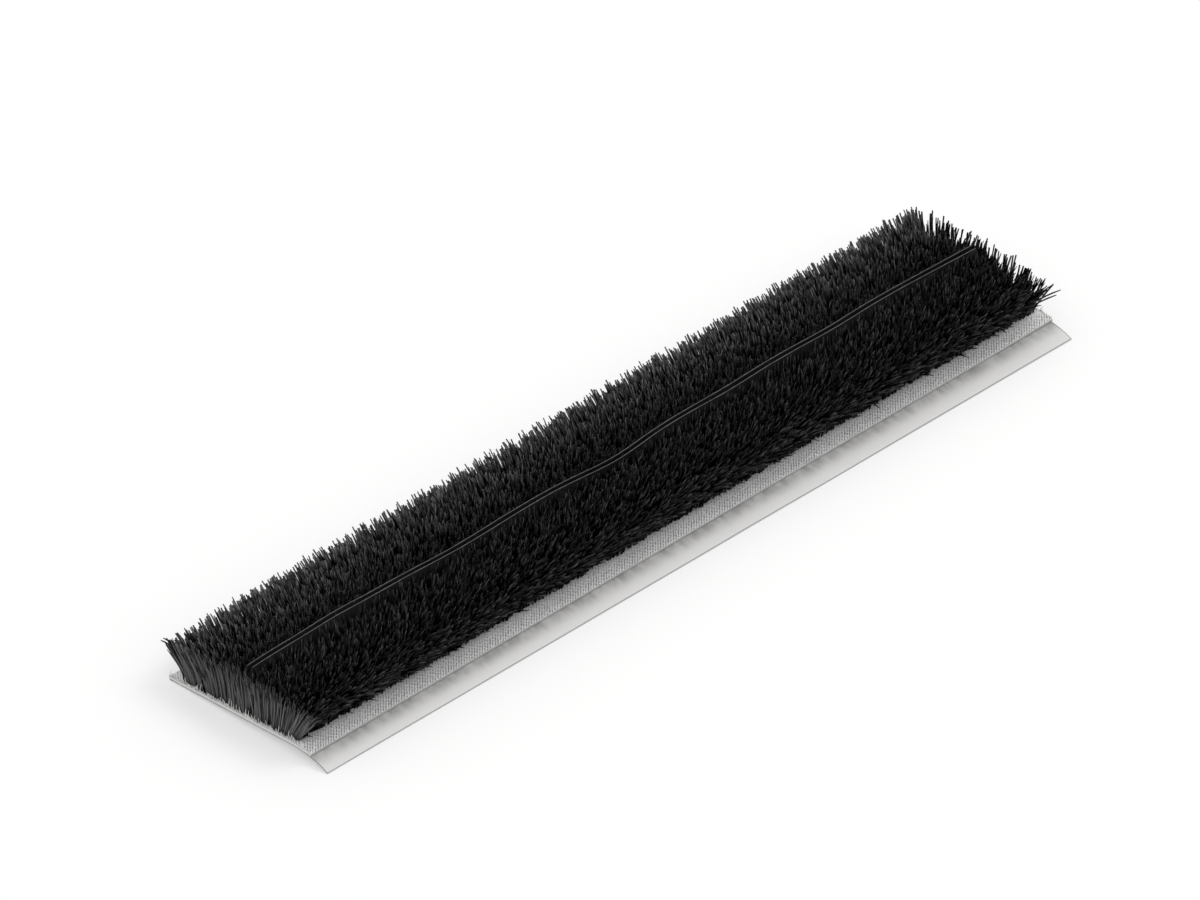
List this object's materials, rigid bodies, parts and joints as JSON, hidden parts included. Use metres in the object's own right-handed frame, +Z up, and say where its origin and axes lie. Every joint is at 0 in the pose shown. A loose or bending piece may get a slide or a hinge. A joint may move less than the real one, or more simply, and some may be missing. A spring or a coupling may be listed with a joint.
{
  "type": "self-adhesive brush seal strip",
  "caption": "Self-adhesive brush seal strip: fanned banks of black pile on a woven backing, parted by a folded film fin, with a curled release liner tab.",
  "frame": {"origin": "under the middle of the strip's bounding box, at the level of the floor it lies on", "axes": "+X along the strip from the left cut end to the right one, +Y away from the liner's tab, +Z up"},
  "size_m": [0.109, 0.023, 0.0062],
  "materials": {
    "liner": "smooth off-white release film",
    "adhesive": "dark adhesive film",
    "weave": "ribbed grey woven backing",
    "fin": "thin smoky film",
    "bristle": "black bristle pile"
  },
  "bodies": {
    "root": {"release_liner": "liner", "adhesive_tape": "adhesive", "woven_backing": "weave", "barrier_fin": "fin", "pile_near": "bristle", "pile_far": "bristle"}
  },
  "joints": []
}
